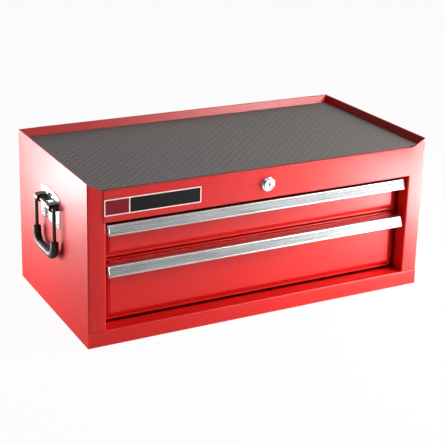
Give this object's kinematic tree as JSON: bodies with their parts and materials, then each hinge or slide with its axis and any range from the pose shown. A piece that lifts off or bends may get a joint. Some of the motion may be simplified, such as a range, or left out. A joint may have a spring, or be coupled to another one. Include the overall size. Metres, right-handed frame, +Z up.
{
  "type": "two-drawer tool chest",
  "caption": "Low steel tool chest with full-width drawers on ball slides, a recessed matted top, a central lock and side carrying handles.",
  "frame": {"origin": "bottom centre of the box round the whole chest", "axes": "+X to the right as seen from the front, the drawers open towards -Y, +Z up"},
  "size_m": [0.707, 0.352, 0.292],
  "materials": {
    "red_paint": "gloss powder coat on sheet steel",
    "rubber_mat": "embossed, matt",
    "badge_black": "plain, satin black",
    "lock_chrome": "polished",
    "zinc_steel": "zinc plated",
    "ball_steel": "polished",
    "pull_aluminium": "brushed, anodised",
    "handle_chrome": "polished plate",
    "handle_black": "black, satin",
    "grip_rubber": "moulded, matt"
  },
  "bodies": {
    "cabinet": {"side_panel_right": "red_paint", "side_panel_left": "red_paint", "back_panel": "red_paint", "bottom_panel": "red_paint", "bottom_rail": "red_paint", "fascia": "red_paint", "top_tray": "red_paint", "slide_upright_front_right": "red_paint", "slide_upright_front_left": "red_paint", "slide_upright_rear_right": "red_paint", "slide_upright_rear_left": "red_paint", "top_mat": "rubber_mat", "badge_plate": "badge_black", "lock_bezel": "lock_chrome", "lock_nut": "zinc_steel", "lock_rod_bracket": "zinc_steel", "lock_bar_guides": "zinc_steel", "slide_upper_outer_right": "zinc_steel", "slide_upper_outer_left": "zinc_steel", "slide_lower_outer_right": "zinc_steel", "slide_lower_outer_left": "zinc_steel", "slide_rivets": "zinc_steel", "handle_rivets": "zinc_steel", "handle_plate_right": "handle_chrome", "handle_plate_left": "handle_chrome", "handle_knuckles": "handle_black"},
    "drawer_upper": {"drawer_upper_front": "red_paint", "drawer_upper_tray": "red_paint", "drawer_upper_pull": "pull_aluminium", "drawer_upper_pull_caps": "pull_aluminium", "drawer_upper_pull_rivets": "zinc_steel", "drawer_upper_catch": "zinc_steel", "drawer_upper_rail_rivets": "zinc_steel", "slide_upper_inner_right": "zinc_steel", "slide_upper_inner_left": "zinc_steel"},
    "drawer_lower": {"drawer_lower_front": "red_paint", "drawer_lower_tray": "red_paint", "drawer_lower_pull": "pull_aluminium", "drawer_lower_pull_caps": "pull_aluminium", "drawer_lower_pull_rivets": "zinc_steel", "drawer_lower_catch": "zinc_steel", "drawer_lower_rail_rivets": "zinc_steel", "slide_lower_inner_right": "zinc_steel", "slide_lower_inner_left": "zinc_steel"},
    "cages_upper": {"slide_upper_cage_right": "zinc_steel", "slide_upper_cage_left": "zinc_steel", "slide_upper_balls": "ball_steel"},
    "cages_lower": {"slide_lower_cage_right": "zinc_steel", "slide_lower_cage_left": "zinc_steel", "slide_lower_balls": "ball_steel"},
    "lock_rotor": {"lock_plug": "lock_chrome", "lock_rod": "zinc_steel", "lock_crank": "zinc_steel"},
    "locking_bar": {"lock_bar": "zinc_steel", "lock_hooks": "zinc_steel"},
    "bail_left": {"handle_bail_left": "handle_black", "handle_grip_left": "grip_rubber"},
    "bail_right": {"handle_bail_right": "handle_black", "handle_grip_right": "grip_rubber"}
  },
  "joints": [
    {"name": "drawer_upper_slide", "type": "slide", "parent": "cabinet", "child": "drawer_upper", "axis": [0, -1, 0], "range_m": [0, 0.215]},
    {"name": "cages_upper_roll", "type": "slide", "parent": "cabinet", "child": "cages_upper", "axis": [0, -1, 0], "range_m": [0, 0.1075]},
    {"name": "drawer_lower_slide", "type": "slide", "parent": "cabinet", "child": "drawer_lower", "axis": [0, -1, 0], "range_m": [0, 0.215]},
    {"name": "cages_lower_roll", "type": "slide", "parent": "cabinet", "child": "cages_lower", "axis": [0, -1, 0], "range_m": [0, 0.1075]},
    {"name": "lock_turn", "type": "hinge", "parent": "cabinet", "child": "lock_rotor", "pos_m": [0, -0.169, 0.248], "axis": [0, 1, 0], "range_deg": [0, 90]},
    {"name": "locking_bar_lift", "type": "slide", "parent": "cabinet", "child": "locking_bar", "axis": [0, 0, 1], "range_m": [0, 0.0122]},
    {"name": "bail_left_swing", "type": "hinge", "parent": "cabinet", "child": "bail_left", "pos_m": [-0.346, 0.0035, 0.208], "axis": [0, 1, 0], "range_deg": [0, 90]},
    {"name": "bail_right_swing", "type": "hinge", "parent": "cabinet", "child": "bail_right", "pos_m": [0.346, 0.0035, 0.208], "axis": [0, -1, 0], "range_deg": [0, 90]}
  ],
  "couplings": [
    {"joint": "cages_upper_roll", "follows": "drawer_upper_slide", "ratio": 0.5},
    {"joint": "cages_lower_roll", "follows": "drawer_lower_slide", "ratio": 0.5},
    {"joint": "locking_bar_lift", "follows": "lock_turn", "m_per_rad": 0.007652}
  ]
}
